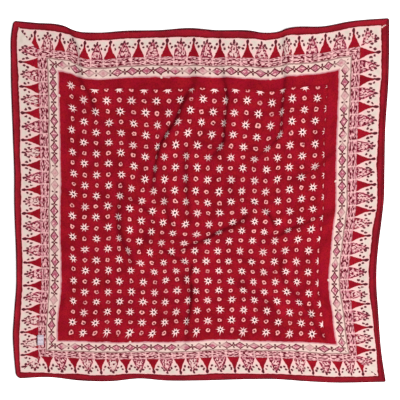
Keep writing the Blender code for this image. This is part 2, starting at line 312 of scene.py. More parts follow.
def grid_faces(index):
    return np.stack([index[:-1, :-1], index[1:, :-1], index[1:, 1:], index[:-1, 1:]],
                    axis=-1).reshape(-1, 4)


cloth_verts = np.concatenate([(lying + normals * upper[..., None]).reshape(-1, 3),
                              (lying + normals * under[..., None]).reshape(-1, 3)])
cloth_faces = np.concatenate([grid_faces(index), grid_faces(under_index)[:, ::-1]])
used = np.unique(cloth_faces)
renumbered = np.zeros(len(cloth_verts), int)
renumbered[used] = np.arange(len(used))

cloth_mesh = bpy.data.meshes.new("batik_cloth")
cloth_mesh.from_pydata(cloth_verts[used].tolist(), [], renumbered[cloth_faces].tolist())
cloth_mesh.shade_smooth()


def put_in_scene(name, contents):
    """Puts one object in the scene for a mesh, a lamp or a camera."""
    put = bpy.data.objects.new(name, contents)
    bpy.context.scene.collection.objects.link(put)
    return put


cloth = put_in_scene("batik_cloth", cloth_mesh)

# Where the print lies: the bands beside each edge of the cloth, and where each red figure stands.
# Bands: (along the edge, end of the red band, figures' base, grey line, field's edge) in mm from
# that edge. The edge itself wavers more than the print, as the hem took up more here and less there.
TOP_BANDS = (
    (0, 10.5, 40, 53, 71), (70, 11.5, 40.5, 53, 71), (88, 10, 36.5, 48.5, 67.5),
    (115, 12.5, 42, 54.5, 72), (148, 12.5, 42.5, 55.5, 73.5), (190, 12, 41.5, 54, 71.5),
    (212, 11.5, 41, 53.5, 70.5), (256, 14, 44, 57.5, 75.5), (300, 12.5, 42.5, 55.5, 74),
    (322, 13, 42.5, 55, 72.5), (346, 13, 43, 56.5, 74.5), (364, 12, 41.5, 55, 73),
    (395, 11, 40.5, 54.5, 73), (427, 13.5, 43, 57, 75.5), (460, 10.5, 40, 53, 71.5),
    (490, 10.5, 40, 52, 70), (564, 10, 39, 52, 70),
)
BOTTOM_BANDS = (
    (0, 10, 33, 43, 58), (55, 6.5, 31.5, 41, 57), (74, 8, 32, 42, 57.5), (92, 11, 34.5, 45, 61),
    (112, 10, 34.5, 45.5, 61.5), (144, 10.5, 34, 45.5, 61), (164, 10, 32, 43, 57.5),
    (190, 7.5, 30, 41, 56.5), (216, 9.5, 32.5, 44, 59), (270, 9.5, 34, 44.5, 60.5),
    (306, 11, 36, 46.5, 62.5), (342, 9.5, 35, 46, 61.5), (371, 8.5, 33.5, 44.5, 59),
    (405, 8.5, 33, 44, 58), (440, 9.5, 33, 44.5, 58.5), (468, 9.5, 33, 44.5, 59.5),
    (491, 9.5, 32.5, 44, 57.5), (564, 9, 33, 44, 57),
)
LEFT_BANDS = (
    (0, 9.5, 40, 53, 70), (119, 12, 41.5, 55.5, 71.5), (149, 12, 41.5, 55.5, 72),
    (203, 10.5, 41, 54.5, 72), (257, 11.5, 40.5, 54.5, 71), (293, 10.5, 40, 53.5, 70),
    (330, 10.5, 40, 53, 69.5), (365, 10, 40, 53, 71), (401, 10.5, 40, 52.5, 71),
    (437, 11, 40, 52.5, 69.5), (479, 10.5, 39, 51.5, 68.5), (537, 8, 37, 50, 67),
)
RIGHT_BANDS = (
    (0, 13, 44, 57, 75), (63, 11.5, 43.5, 56.5, 75), (108, 12.5, 44, 57, 75),
    (153, 11, 42.5, 56, 74), (189, 11, 42.5, 56.5, 74), (214, 13.5, 44, 57.5, 75),
    (243, 10.5, 42.5, 56.5, 74.5), (281, 10.5, 42, 55.5, 73.5), (315, 12.5, 43, 56.5, 74.5),
    (350, 12.5, 43.5, 57.5, 74.5), (395, 13, 43.5, 58, 75.5), (440, 9, 39.5, 54, 71.5),
    (470, 9, 39, 52.5, 69), (492, 7.5, 38, 50.5, 66.5), (537, 13, 42, 53, 69),
)
# How far in each band ends in the stamps' own layout, in mm
RED_BAND, FIGURE_BAND, VINE_BAND, LOZENGE_BAND = 10, 40, 52, 70

# How far the field's flowers were stamped to the right of even rows, and below them, in mm.
# Each row: (down), then the shift at each of the places across.
DRIFT_PLACES = (90, 141, 193, 245, 297, 349, 401, 470)
DRIFT_RIGHT = (
    (86, 3, 4, 4, 4, 2, 0, 0, 1), (134, 4, 6, 6, 3, 1, -1, -1, 0),
    (182, 4, 5, 4, 0, -3, -3, -3, 0), (231, 4, 4, 2, -2, -5, -4, -4, -2),
    (279, 2, 2, 1, -1, -2, -1, -2, -1), (328, 2, 2, 0, -3, -1, -3, -3, -2),
    (376, 4, 5, 5, 2, 1, 2, 0, -1), (425, 5, 5, 6, 3, 2, 3, 3, 1),
    (457, 4, 5, 6, 3, 2, 3, 3, 2),
)
DRIFT_DOWN = (
    (86, 1, 2, 5, 5, 5, 5, 5, 5), (134, 1, 3, 7, 6, 7, 8, 8, 6),
    (182, 1, 0, 9, 9, 9, 10, 10, 8), (231, 0, 0, 11, 10, 11, 11, 10, 6),
    (279, 0, -1, 9, 11, 9, 8, 8, 4), (328, 0, -1, 7, 5, 4, 4, 4, 3),
    (376, -1, -1, 3, -1, 0, 1, 3, 2), (425, -3, -4, 0, -4, -6, -4, -1, 0),
    (457, -3, -6, -1, -5, -7, -5, -3, -2),
)
# The drift fades from this far in to the field's edge, at this pace. It is looked up more than
# once, since it is read where the print ends up.
WELL_IN, DRIFT_PACE, DRIFT_ROUNDS = 96, 1.5, 3
# The stamps' own layout, in mm
DESIGN_WIDTH, DESIGN_LENGTH = 554, 538
# How far in from the top, bottom, left and right edges the field's even rows begin, in mm
TOP_IN, BOTTOM_IN, LEFT_IN, RIGHT_IN = 96.6, 84.5, 95.3, 98.2

# Where the red figures stand along each edge, in mm
TOP_FIGURES = (35, 73, 110, 148, 190, 232, 272, 311, 352, 392, 429, 469, 511)
BOTTOM_FIGURES = (51, 92, 132, 170, 212, 253, 294, 336, 379, 419, 455, 495, 531)
LEFT_FIGURES = (61, 98, 137, 178, 216, 253, 289, 327, 363, 398, 433, 468, 502)
RIGHT_FIGURES = (49, 89, 130, 169, 207, 245, 283, 320, 357, 392, 421, 456, 489)


def on_design(lying_mm, along_mm, near_bands, far_bands, near_in, far_in, cut, whole):
    """Design place of points across the cloth, between the bands of two opposite edges."""
    stops = (0, RED_BAND, FIGURE_BAND, VINE_BAND, LOZENGE_BAND, WELL_IN)
    stops = stops + tuple(whole - stop for stop in stops[::-1])
    place = np.empty(lying_mm.shape)
    for i, along in enumerate(along_mm):
        near, far = [[np.interp(along, [row[0] for row in bands], [row[c] for row in bands])
                      for c in range(1, 5)] for bands in (near_bands, far_bands)]
        lines = [0] + near + [near_in, cut - far_in] + [cut - line for line in far[::-1]] + [cut]
        place[i] = np.interp(lying_mm[i], lines, stops)
    return place


def stamp_count(lying_mm, figures):
    """How many stamps along an edge a point lies, counted from the first red figure."""
    rows = (2 * figures[0] - figures[1],) + figures + (2 * figures[-1] - figures[-2],)
    return np.interp(lying_mm, rows, np.arange(len(rows)) - 1.0)


def drift_at(rows, across, down):
    """The drift at each point, between the nearest rows and places of a table."""
    # A point stays just short of the last row and place, so that there is one after it
    short = 1.001
    row = np.interp(down, [row[0] for row in rows], range(len(rows))).clip(0, len(rows) - short)
    place = np.interp(across, DRIFT_PLACES, range(len(DRIFT_PLACES)))
    place = place.clip(0, len(DRIFT_PLACES) - short)
    shifts = np.array([row[1:] for row in rows])
    r, p = row.astype(int), place.astype(int)
    u, v = smooth(place - p), smooth(row - r)
    return ((shifts[r, p] * (1 - u) + shifts[r, p + 1] * u) * (1 - v)
            + (shifts[r + 1, p] * (1 - u) + shifts[r + 1, p + 1] * u) * v)


across_mm = right_share * CUT_WIDTH
down_mm = down_share * CUT_LENGTH
print_across = on_design(across_mm, down_mm[:, 0], LEFT_BANDS, RIGHT_BANDS, LEFT_IN, RIGHT_IN,
                         CUT_WIDTH, DESIGN_WIDTH)
print_down = on_design(down_mm.T, across_mm[0], TOP_BANDS, BOTTOM_BANDS, TOP_IN, BOTTOM_IN,
                       CUT_LENGTH, DESIGN_LENGTH).T
in_field = np.minimum(np.minimum(print_across, DESIGN_WIDTH - print_across),
                      np.minimum(print_down, DESIGN_LENGTH - print_down)) - LOZENGE_BAND
in_field = smooth(in_field / (WELL_IN - LOZENGE_BAND) * DRIFT_PACE)
even_across, even_down = print_across, print_down
for _ in range(DRIFT_ROUNDS):
    shift_right = drift_at(DRIFT_RIGHT, print_across, print_down) * in_field
    shift_down = drift_at(DRIFT_DOWN, print_across, print_down) * in_field
    print_across, print_down = even_across - shift_right, even_down - shift_down
level_stamps = np.where(down_share < 0.5, stamp_count(across_mm, TOP_FIGURES),
                        stamp_count(across_mm, BOTTOM_FIGURES))
upright_stamps = np.where(right_share < 0.5, stamp_count(down_mm, LEFT_FIGURES),
                          stamp_count(down_mm, RIGHT_FIGURES))


def keep_on_cloth(name, values):
    """Keeps three values for each point of the upper and under side, for the dye to read."""
    kept = cloth_mesh.attributes.new(name, "FLOAT_VECTOR", "POINT")
    both = np.concatenate([values, values])[used]
    kept.data.foreach_set("vector", both.astype(np.float32).ravel())
    return both


design = keep_on_cloth("print_mm", np.column_stack([print_across.ravel(), print_down.ravel(),
                                                    from_side.ravel()]))
keep_on_cloth("stamps", np.column_stack([level_stamps.ravel(), upright_stamps.ravel(),
                                         np.zeros(count)]))

corner_verts = np.empty(len(cloth_mesh.loops), int)
cloth_mesh.loops.foreach_get("vertex_index", corner_verts)
bake_place = np.column_stack([design[:, 0] / DESIGN_WIDTH, 1 - design[:, 1] / DESIGN_LENGTH])
bake_map = cloth_mesh.uv_layers.new(name="OFBake")
bake_map.data.foreach_set("uv", bake_place[corner_verts].astype(np.float32).ravel())

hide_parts("cloth")
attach(cloth, "root")


def hex_colour(code):
    """An sRGB hex value as a linear colour."""
    shares = [int(code[i:i + 2], 16) / 255 for i in (1, 3, 5)]
    return [c / 12.92 if c <= 0.04045 else ((c + 0.055) / 1.055) ** 2.4 for c in shares] + [1.0]


def add(kind, settings, inputs, out=0):
    """Adds one node to the tree in hand, with its settings and its inputs, and gives an output.

    Inputs are values or links, in the sockets' order or under a socket's name or number."""
    node = tree.nodes.new("ShaderNode" + kind)
    for name, value in settings.items():
        setattr(node, name, value)
    if not isinstance(inputs, dict):
        inputs = dict(enumerate(inputs))
    for socket, value in inputs.items():
        if isinstance(value, bpy.types.NodeSocket):
            tree.links.new(value, node.inputs[socket])
        else:
            node.inputs[socket].default_value = value
    return node.outputs[out]


# The settings that most nodes take
SOFT = {"interpolation_type": "SMOOTHSTEP"}
COLOUR = {"data_type": "RGBA"}
AMOUNT = {"data_type": "FLOAT"}
PLUS = {"operation": "ADD"}
MINUS = {"operation": "SUBTRACT"}
TIMES = {"operation": "MULTIPLY"}
TIMES_PLUS = {"operation": "MULTIPLY_ADD"}
LEAST = {"operation": "MINIMUM"}
MOST = {"operation": "MAXIMUM"}
UNSIGNED = {"operation": "ABSOLUTE"}
WITHIN = {"operation": "COMPARE"}
ABOVE = {"operation": "GREATER_THAN"}
DISTANCE = {"operation": "DISTANCE"}


def new_finish(name):
    """A new material, its tree and its shader."""
    finish = bpy.data.materials.new(name)
    finish.use_nodes = True
    return finish, finish.node_tree, finish.node_tree.nodes["Principled BSDF"]


def surface(colour, relief, strength, depth, roughness):
    """Gives the shader in hand its colour, its bump from a relief, and its roughness."""
    bump = add("Bump", {}, {"Strength": strength, "Distance": depth, "Height": relief})
    tree.links.new(colour, shader.inputs["Base Color"])
    tree.links.new(bump, shader.inputs["Normal"])
    shader.inputs["Roughness"].default_value = roughness


def off_line(place, line):
    """How far a place lies to either side of a line."""
    side = add("Math", MINUS, (place, line))
    return add("Math", UNSIGNED, (side,))


# Printed cotton: thin plain weave, waxed and dyed by hand through both faces. The wax gives soft,
# wobbly edges with pink fringes, the dye gathers dark beside it and takes unevenly elsewhere.
RED = hex_colour("#9A1122")
DEEP_RED = hex_colour("#62050D")
CRIMSON = hex_colour("#8E0828")
SCARLET = hex_colour("#96171A")
CREAM = hex_colour("#D3C2B8")
GREY_CREAM = hex_colour("#B8AD9C")
FRINGE_PINK = hex_colour("#E8B6B4")
WARM_CREAM = hex_colour("#DABBB2")
PETAL_CREAM = hex_colour("#F4D3CF")
TIP_PINK = hex_colour("#E08C92")
RING_PINK = hex_colour("#F2A6A0")
MAUVE_PINK = hex_colour("#B46678")
ROSE = hex_colour("#A5405A")
LOZENGE_PINK = hex_colour("#AB6877")
WINE = hex_colour("#83203A")
STROKE_RED = hex_colour("#5E1020")
DOT_BROWN = hex_colour("#4C1822")
EYE_BROWN = hex_colour("#2E0E12")
# A dark maroon for the painted shade on the turn of the hem
HEM_SHADE_MAROON = hex_colour("#480A14")
GREY_BROWN = hex_colour("#8E6C66")

cotton, tree, shader = new_finish("hand printed cotton")

# Where each point lies in the print, in mm, so a pattern's scale is one over its size in mm.
# The inputs of a Map Range are the value, the range it comes from and the range it goes to.
stamped = add("Attribute", {"attribute_name": "print_mm"}, {}, 1)

# The hand's wobble: a slow drift of the stamp and a quick tremble of the wax line
DRIFT_SIZE, DRIFT_SWING = 40, (3.0, 3.0, 0.0)
TREMBLE_SIZE, TREMBLE_SWING = 6, (2.0, 2.0, 0.0)
HALF = (0.5, 0.5, 0.5)
drift = add("TexNoise", {}, {"Vector": stamped, "Scale": 1 / DRIFT_SIZE, "Detail": 1.0}, 1)
drift = add("VectorMath", MINUS, (drift, HALF))
tremble = add("TexNoise", {}, {"Vector": stamped, "Scale": 1 / TREMBLE_SIZE, "Detail": 1.0}, 1)
tremble = add("VectorMath", MINUS, (tremble, HALF))
wobble = add("VectorMath", TIMES, (tremble, TREMBLE_SWING))
wobble = add("VectorMath", TIMES_PLUS, (drift, DRIFT_SWING, wobble))
wobbly = add("VectorMath", PLUS, (stamped, wobble))
wobbly_axes = add("SeparateXYZ", {}, (wobbly,)).node.outputs
across, down = wobbly_axes[0], wobbly_axes[1]

# Dye: a deep red that took unevenly, bluer in some patches and yellower in others
MOTTLE_SIZE, PATCH_SIZE, SPECK_SIZE = 26, 9, 1.9
mottle = add("TexNoise", {}, {"Vector": stamped, "Scale": 1 / MOTTLE_SIZE, "Detail": 2.0})
mottle = add("MapRange", {}, (mottle, 0.38, 0.68, 0.0, 0.55))
patches = add("TexNoise", {}, {"Vector": stamped, "Scale": 1 / PATCH_SIZE, "Detail": 2.0})
crimson_patch = add("MapRange", {}, (patches, 0.5, 0.66, 0.0, 0.45))
scarlet_patch = add("MapRange", {}, (patches, 0.46, 0.32, 0.0, 0.45))
specks = add("TexNoise", {}, {"Vector": stamped, "Scale": 1 / SPECK_SIZE, "Detail": 1.0})
specks = add("MapRange", {}, (specks, 0.48, 0.66, 0.0, 0.55))
red_dye = RED
for mask, colour in ((mottle, DEEP_RED), (crimson_patch, CRIMSON), (scarlet_patch, SCARLET),
                     (specks, DEEP_RED)):
    red_dye = add("Mix", COLOUR, {0: mask, 6: red_dye, 7: colour}, 2)

# Field: a checkerboard of eight-petalled flowers and small rings, each drawn a little differently
FIRST_COLUMN, COLUMN_STEP, LAST_COLUMN = 86.6, 17.3, 22
FIRST_ROW, ROW_STEP, LAST_ROW = 85.5, 16.15, 23
STAMP_MIDDLE = (FIRST_COLUMN - COLUMN_STEP / 2, FIRST_ROW - ROW_STEP / 2, 0.0)
NUDGE = (1.5, 1.5, 0.0)
FLATTENED = 1e6

cell = add("VectorMath", MINUS, (wobbly, STAMP_MIDDLE))
cell = add("VectorMath", {"operation": "DIVIDE"}, (cell, (COLUMN_STEP, ROW_STEP, FLATTENED)))
cell_number = add("VectorMath", {"operation": "FLOOR"}, (cell,))
number_axes = add("SeparateXYZ", {}, (cell_number,)).node.outputs
chance = add("TexWhiteNoise", {"noise_dimensions": "3D"}, {"Vector": cell_number}, 1)
chances = add("SeparateColor", {}, (chance,)).node.outputs
within = add("VectorMath", {"operation": "FRACTION"}, (cell,))
within = add("VectorMath", MINUS, (within, HALF))
within = add("VectorMath", TIMES, (within, (COLUMN_STEP, ROW_STEP, 0)))
nudge = add("VectorMath", MINUS, (chance, HALF))
within = add("VectorMath", TIMES_PLUS, (nudge, NUDGE, within))
within_axes = add("SeparateXYZ", {}, (within,)).node.outputs
radius = add("VectorMath", {"operation": "LENGTH"}, (within,), 1)
turn = add("Math", {"operation": "ARCTAN2"}, (within_axes[1], within_axes[0]))
parity = add("Math", PLUS, (number_axes[0], number_axes[1]))
parity = add("Math", {"operation": "FLOORED_MODULO"}, (parity, 2.0))

# Flower: eight wax spikes round a dark dot
PETALS, PETAL_ROOT, PETAL_REACH, PETAL_SPREAD, PETAL_TAPER = 8, 2.7, 4.3, 1.5, 1.75
petal = add("Math", TIMES_PLUS, (turn, PETALS / (2 * math.pi), chances[2]))
petal_number = add("Math", {"operation": "FLOOR"}, (petal,))
petal_place = add("CombineXYZ", {}, (petal_number, chances[0], chances[1]))
petal_chance = add("TexWhiteNoise", {"noise_dimensions": "3D"}, {"Vector": petal_place})
petal = add("Math", {"operation": "FRACT"}, (petal,))
petal = add("Math", {"operation": "PINGPONG"}, (petal, 0.5))
petal = add("Math", TIMES, (petal, 2.0))
petal = add("Math", {"operation": "POWER"}, (petal, PETAL_TAPER))
petal_length = add("Math", TIMES_PLUS, (petal_chance, PETAL_SPREAD, PETAL_REACH - PETAL_SPREAD / 2))
flower = add("Math", TIMES_PLUS, (petal, petal_length, PETAL_ROOT))
flower = add("Math", MINUS, (flower, radius))

# Ring: a small wax loop, often open or faint
RING_RADIUS, RING_HALF_WIDTH, BREAK_SIZE, BREAK_SPREAD = 2.1, 0.95, 3.5, 2.6
loop_break = add("TexNoise", {}, {"Vector": stamped, "Scale": 1 / BREAK_SIZE, "Detail": 0.0})
ring_width = add("Math", TIMES_PLUS, (loop_break, BREAK_SPREAD, RING_HALF_WIDTH - BREAK_SPREAD / 2))
ring = add("Math", MINUS, (ring_width, off_line(radius, RING_RADIUS)))
motif = add("Mix", AMOUNT, {0: parity, 2: flower, 3: ring})

# The border's stamp was set over the first row and the last column, so those are cut off, the
# column at a slant: less of it is left at the top
CUT_AT_TOP, CUT_AT_FOOT = -2.9, 0.3
# How far above its middle the first row is cut, how many of its columns are whole, and how near
# the cut a flower loses its dot
LEFT_OF_FIRST_ROW, WHOLE_COLUMNS, CLEAR_OF_DOT = 0.9, 2, 2.0
OUT_OF_REACH = 99.0
first_row = add("Math", WITHIN, (number_axes[1], 0.0, 0.5))
past_whole = add("Math", ABOVE, (number_axes[0], WHOLE_COLUMNS - 0.5))
whole_top = add("Math", TIMES, (first_row, past_whole))
whole_top = add("Math", MINUS, (1.0, whole_top))
below_cut = add("Math", PLUS, (within_axes[1], LEFT_OF_FIRST_ROW))
below_cut = add("Math", TIMES_PLUS, (whole_top, OUT_OF_REACH, below_cut))
whole_side = add("Math", {"operation": "LESS_THAN"}, (number_axes[0], LAST_COLUMN - 0.5))
side_cut = add("MapRange", {}, (number_axes[1], 0.0, LAST_ROW, CUT_AT_TOP, CUT_AT_FOOT))
left_of_cut = add("Math", MINUS, (side_cut, within_axes[0]))
left_of_cut = add("Math", TIMES_PLUS, (whole_side, OUT_OF_REACH, left_of_cut))
from_cut = add("Math", LEAST, (below_cut, left_of_cut))
motif = add("Math", LEAST, (motif, from_cut))
in_columns = add("Math", WITHIN, (number_axes[0], LAST_COLUMN / 2, LAST_COLUMN / 2 + 0.5))
in_rows = add("Math", WITHIN, (number_axes[1], LAST_ROW / 2, LAST_ROW / 2 + 0.5))
strength = add("MapRange", {}, (chances[1], 0.0, 0.35, 0.72, 1.0))
faint_ring = add("MapRange", {}, (chances[0], 0.0, 0.4, 0.4, 0.0))
faint_ring = add("Math", TIMES, (faint_ring, parity))
strength = add("Math", MINUS, (strength, faint_ring))
strength = add("Math", TIMES, (strength, in_columns))
strength = add("Math", TIMES, (strength, in_rows))

# From the field inward: dye pooled round the wax, its pink fringe, the bare cotton and the dark dot
dye_pool = add("MapRange", SOFT, (motif, -4.2, -0.4, 0.0, 0.5))
tip = add("MapRange", SOFT, (radius, 3.0, 6.4, 0.0, 0.9))
wax_colour = add("Mix", COLOUR, {0: tip, 6: PETAL_CREAM, 7: TIP_PINK}, 2)
wax_colour = add("Mix", COLOUR, {0: parity, 6: wax_colour, 7: RING_PINK}, 2)
fringe = add("MapRange", SOFT, (motif, -0.4, 0.3, 0.0, 0.8))
bare = add("MapRange", SOFT, (motif, -0.05, 0.7, 0.0, 1.0))
dot = add("MapRange", SOFT, (radius, 1.25, 2.05, 1.0, 0.0))
dot_dark = add("Math", TIMES_PLUS, (parity, -0.35, 1.0))
dot = add("Math", TIMES, (dot, dot_dark))
uncut = add("Math", ABOVE, (from_cut, CLEAR_OF_DOT))
dot = add("Math", TIMES, (dot, uncut))
field_colour = red_dye
for mask, colour in ((dye_pool, DEEP_RED), (fringe, TIP_PINK), (bare, wax_colour), (dot, EYE_BROWN)):
    mask = add("Math", TIMES, (mask, strength))
    field_colour = add("Mix", COLOUR, {0: mask, 6: field_colour, 7: colour}, 2)

# Border: the nearer edge rules each point, so the bands of two edges meet on the corners' diagonals
level_depth = add("Math", {"operation": "PINGPONG"}, (down, DESIGN_LENGTH / 2))
upright_depth = add("Math", {"operation": "PINGPONG"}, (across, DESIGN_WIDTH / 2))
upright = add("Math", ABOVE, (level_depth, upright_depth))
deep = add("Math", LEAST, (level_depth, upright_depth))
height = add("Math", MINUS, (FIGURE_BAND, deep))

# Two kinds of pointed figure stand in turn on the inner line: plain red, and lacy between them
FIGURE_STEP, FIGURE_TALL = 38.5, 30.0
stamps = add("Attribute", {"attribute_name": "stamps"}, {}, 1)
stamps = add("VectorMath", TIMES_PLUS, (wobble, (1 / FIGURE_STEP, 1 / FIGURE_STEP, 0), stamps))
stamp_axes = add("SeparateXYZ", {}, (stamps,)).node.outputs
repeat = add("Mix", AMOUNT, {0: upright, 2: stamp_axes[0], 3: stamp_axes[1]})
along = add("Mix", AMOUNT, {0: upright, 2: across, 3: down})


def from_axis(shift):
    """How far a point lies to the side of the nearest figure's axis, in mm."""
    side = add("Math", PLUS, (repeat, shift))
    side = add("Math", {"operation": "FRACT"}, (side,))
    side = add("Math", MINUS, (side, 0.5))
    side = add("Math", TIMES, (side, FIGURE_STEP))
    return add("Math", UNSIGNED, (side,))


def inside_outline(side, height, outline):
    """How far a point lies inside a figure of rows (height, half width), in mm."""
    share = add("Math", {"operation": "DIVIDE"}, (height, FIGURE_TALL))
    half = add("FloatCurve", {}, {1: share})
    curve = half.node.mapping.curves[0]
    curve.points[0].location = (0.0, outline[0][1] / FIGURE_TALL)
    curve.points[-1].location = (1.0, outline[-1][1] / FIGURE_TALL)
    for up, width in outline[1:-1]:
        curve.points.new(up / FIGURE_TALL, width / FIGURE_TALL)
    half.node.mapping.update()
    half = add("Math", TIMES, (half, FIGURE_TALL))
    inside = add("Math", MINUS, (half, side))
    return add("Math", LEAST, (inside, height))


def from_dots(side, height, dots):
    """How far a point lies from the nearest oval dot's middle, in mm, for rows (side, height)."""
    spot = add("CombineXYZ", {}, (side, height))
    spot = add("VectorMath", TIMES, (spot, (1.0, DOT_FLATTER, 0.0)))
    nearest = None
    for dot_side, dot_height in dots:
        gap = add("VectorMath", DISTANCE, (spot, (dot_side, dot_height * DOT_FLATTER, 0.0)), 1)
        if nearest is not None:
            gap = add("Math", LEAST, (gap, nearest))
        nearest = gap
    return nearest


DOT_FLATTER = 0.75
# Outlines as (height, half width) and dots as (to the side, height), in mm
RED_FIGURE = ((0, 8.8), (4, 7.1), (8, 5.3), (12, 3.6), (16, 2.3), (20, 1.5), (22.5, 1.4),
              (24.5, 2.1), (27.0, 2.1), (28.8, 1.0), (30, -0.8))
RED_FIGURE_DOTS = ((4.9, 20.8), (7.0, 15.2))
LACY_FIGURE = ((0, 9.6), (6, 8.4), (12, 6.4), (18, 4.1), (22, 2.4), (25, 0.8), (30, -2.5))
LACY_FIGURE_DOTS = ((0.0, 25.8), (0.0, 24.8), (4.1, 22.0), (6.8, 17.0))

red_side = from_axis(0.5)
red_inside = inside_outline(red_side, height, RED_FIGURE)
red_dots = from_dots(red_side, height, RED_FIGURE_DOTS)
LAST_FIGURE = len(TOP_FIGURES) - 1
in_turn = add("Math", WITHIN, (repeat, LAST_FIGURE / 2, LAST_FIGURE / 2 + 0.5))
red_inside = add("Mix", AMOUNT, {0: in_turn, 2: -OUT_OF_REACH, 3: red_inside})
red_dots = add("Mix", AMOUNT, {0: in_turn, 2: OUT_OF_REACH, 3: red_dots})

# The lacy figures go on past the last red ones, so two of them meet across a corner's diagonal
lacy_side = from_axis(0.0)
lacy_inside = inside_outline(lacy_side, height, LACY_FIGURE)
lacy_dots = from_dots(lacy_side, height, LACY_FIGURE_DOTS)

# Some stamps of the lacy figure took little dye: they are pale, with a small red leaf at each foot
lacy_number = add("Math", {"operation": "FLOOR"}, (repeat,))
opposite = add("Mix", AMOUNT, {0: upright, 2: down, 3: across})
opposite = add("Math", ABOVE, (opposite, DESIGN_WIDTH / 2))
lacy_place = add("CombineXYZ", {}, (lacy_number, opposite, upright))
lacy_chance = add("TexWhiteNoise", {"noise_dimensions": "3D"}, {"Vector": lacy_place})
pale_stamp = add("MapRange", {}, (lacy_chance, 0.5, 0.85, 0.0, 1.0))
LEAF_SIDE, LEAF_HALF, LEAF_TALL = 6.1, 2.7, 8.5
leaf_half = add("Math", TIMES_PLUS, (height, -LEAF_HALF / LEAF_TALL, LEAF_HALF))
leaf = add("Math", MINUS, (leaf_half, off_line(lacy_side, LEAF_SIDE)))
leaf = add("MapRange", SOFT, (leaf, -0.3, 0.5, 0.0, 0.9))
leaf = add("Math", TIMES, (leaf, pale_stamp))

# The dots were dabbed, so they are blots of uneven size
BLOT_SIZE, BLOT_SPREAD = 4.2, 2.4
dots = add("Math", LEAST, (red_dots, lacy_dots))
blot = add("TexNoise", {}, {"Vector": stamped, "Scale": 1 / BLOT_SIZE, "Detail": 0.0})
dots = add("Math", TIMES_PLUS, (blot, BLOT_SPREAD, dots))

# Bare cotton, greyed in patches, with a pink halo round the figures, the dots and the red band
halo = add("Math", MOST, (red_inside, lacy_inside))
halo = add("MapRange", SOFT, (halo, -4.0, -0.6, 0.0, 0.95))
pale_heart = add("MapRange", SOFT, (lacy_inside, 0.8, 2.6, 0.0, 0.55))
pale_heart = add("Math", TIMES, (pale_heart, pale_stamp))
halo = add("Math", MINUS, (halo, pale_heart))
band_fringe = add("MapRange", SOFT, (deep, RED_BAND + 0.4, RED_BAND + 3.4, 0.95, 0.0))
halo = add("Math", MOST, (halo, band_fringe))
dot_halo = add("MapRange", SOFT, (dots, 3.0, 4.4, 0.8, 0.0))
halo = add("Math", MOST, (halo, dot_halo))
greyed = add("MapRange", {}, (patches, 0.4, 0.66, 0.0, 0.4))
bare_cotton = add("Mix", COLOUR, {0: greyed, 6: CREAM, 7: GREY_CREAM}, 2)

# Lacy figure: short crimson dashes laid towards its tip and along its sides, on patches of mauve
BRUSH_SIZE, LIFT_OFF_SIZE, DASH_SIZE, DASH_DRAWN_OUT = 5.5, 2.9, 2.0, (1.0, 0.5, 0.0)
brush_place = add("CombineXYZ", {}, (along, deep))
brush = add("TexNoise", {}, {"Vector": brush_place, "Scale": 1 / BRUSH_SIZE, "Detail": 0.5})
lift_off = add("TexNoise", {}, {"Vector": brush_place, "Scale": 1 / LIFT_OFF_SIZE, "Detail": 0.0})
dash_place = add("VectorMath", TIMES, (brush_place, DASH_DRAWN_OUT))
dash = add("TexNoise", {}, {"Vector": dash_place, "Scale": 1 / DASH_SIZE, "Detail": 0.0})
lacy_mask = add("MapRange", SOFT, (lacy_inside, -0.5, 0.6, 0.0, 1.0))
patch = add("MapRange", SOFT, (brush, 0.4, 0.58, 0.2, 0.92))
by_side = add("MapRange", SOFT, (lacy_inside, 1.5, 5.0, 1.0, 0.3))
patch = add("Math", TIMES, (patch, lacy_mask))
patch = add("Math", TIMES, (patch, by_side))
dense_stamp = add("Math", TIMES_PLUS, (pale_stamp, -0.7, 1.0))
patch = add("Math", TIMES, (patch, dense_stamp))
patch_colour = add("Mix", COLOUR, {0: by_side, 6: MAUVE_PINK, 7: ROSE}, 2)
lacy_side_stroke = add("Math", WITHIN, (lacy_inside, 0.9, 0.75))
low_down = add("MapRange", SOFT, (height, 10.0, 18.0, 0.14, 0.08))
dash = add("Math", TIMES_PLUS, (lacy_side_stroke, low_down, dash))
dash = add("Math", TIMES_PLUS, (by_side, 0.06, dash))
dash = add("Math", TIMES_PLUS, (pale_stamp, -0.05, dash))
dash = add("MapRange", SOFT, (dash, 0.53, 0.58, 0.0, 1.0))
dash = add("Math", TIMES, (dash, lacy_mask))
dash_colour = add("MapRange", {}, (lift_off, 0.42, 0.58, 0.0, 1.0))
dash_colour = add("Mix", COLOUR, {0: dash_colour, 6: STROKE_RED, 7: WINE}, 2)

# Dots and red figures: plain dye, dark towards the figure's tip and along its rim
dots = add("MapRange", SOFT, (dots, 2.45, 3.35, 0.97, 0.0))
red_mask = add("MapRange", SOFT, (red_inside, -0.4, 0.4, 0.0, 1.0))
figure_dark = add("MapRange", SOFT, (height, 16.0, 24.0, 0.0, 0.95))
figure_rim = add("MapRange", SOFT, (red_inside, 0.4, 1.3, 0.55, 0.0))
figure_red = add("Mix", COLOUR, {0: figure_rim, 6: red_dye, 7: DEEP_RED}, 2)
figure_red = add("Mix", COLOUR, {0: figure_dark, 6: figure_red, 7: DOT_BROWN}, 2)
border_colour = bare_cotton
for mask, colour in ((halo, FRINGE_PINK), (patch, patch_colour), (dash, dash_colour), (leaf, red_dye),
                     (dots, DOT_BROWN), (red_mask, figure_red)):
    border_colour = add("Mix", COLOUR, {0: mask, 6: border_colour, 7: colour}, 2)

